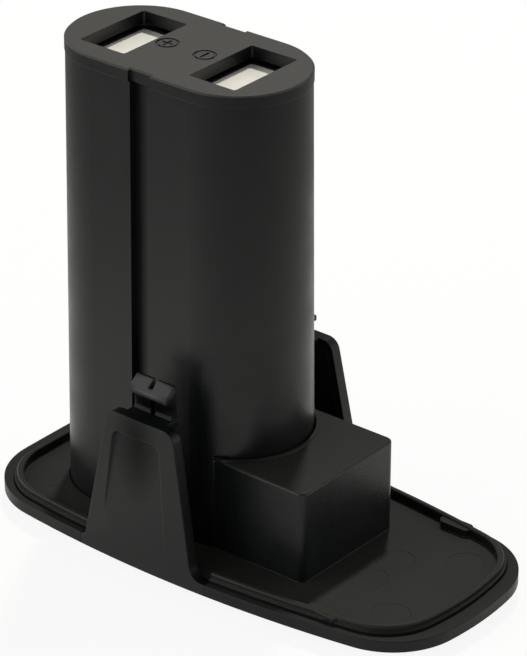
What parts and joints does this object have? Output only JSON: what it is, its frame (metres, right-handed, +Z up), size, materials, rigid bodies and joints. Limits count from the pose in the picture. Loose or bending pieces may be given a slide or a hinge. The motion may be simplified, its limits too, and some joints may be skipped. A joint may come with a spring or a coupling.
{
  "type": "power tool battery pack",
  "caption": "Stick battery pack for a cordless tool: twin-lobed cell tower on a rounded handle end cap, with sprung side latches and recessed contacts.",
  "frame": {"origin": "on the lowest plane of the crowned underside, below the middle of the tower", "axes": "+Z up the tower to its contacts, +X along the end cap towards its key block and narrow end, +Y to the far latch"},
  "size_m": [0.103, 0.051, 0.0945],
  "materials": {
    "case_plastic": "satin",
    "cap_plastic": "matte",
    "latch_plastic": "satin",
    "carrier_plastic": "matte",
    "contact_metal": "nickel plated",
    "strap_metal": "nickel strip",
    "cell_steel": "nickel plated can",
    "sleeve_film": "shrink film",
    "ring_card": "fibre card",
    "pad_foam": "closed-cell foam",
    "fuse_body": "lacquered"
  },
  "bodies": {
    "pack": {"bottom_cover": "case_plastic", "tray": "case_plastic", "tower_shell": "case_plastic", "top_cap": "cap_plastic", "contact_carrier": "carrier_plastic", "positive_contact": "contact_metal", "negative_contact": "contact_metal", "cell_1": "cell_steel", "cell_2": "cell_steel", "cell_3": "cell_steel", "cell_4": "cell_steel", "cell_sleeve_1": "sleeve_film", "cell_sleeve_2": "sleeve_film", "cell_sleeve_3": "sleeve_film", "cell_sleeve_4": "sleeve_film", "cell_ring_1": "ring_card", "cell_ring_2": "ring_card", "cell_ring_3": "ring_card", "cell_ring_4": "ring_card", "left_column_strap": "strap_metal", "right_column_strap": "strap_metal", "positive_terminal_strap": "strap_metal", "negative_terminal_strap": "strap_metal", "negative_link_strap": "strap_metal", "positive_link_strap": "strap_metal", "thermal_fuse": "fuse_body", "foot_pad": "pad_foam", "top_pad": "pad_foam"},
    "near_latch_arm": {"near_latch": "latch_plastic"},
    "far_latch_arm": {"far_latch": "latch_plastic"}
  },
  "joints": [
    {"name": "near_latch_flex", "type": "hinge", "parent": "pack", "child": "near_latch_arm", "pos_m": [0.00925, -0.0243, 0.003], "axis": [-1, 0, 0], "range_deg": [0, 4.5], "stiffness_Nm_per_rad": 3.6},
    {"name": "far_latch_flex", "type": "hinge", "parent": "pack", "child": "far_latch_arm", "pos_m": [0.00925, 0.0243, 0.003], "axis": [1, 0, 0], "range_deg": [0, 4.5], "stiffness_Nm_per_rad": 3.6}
  ]
}
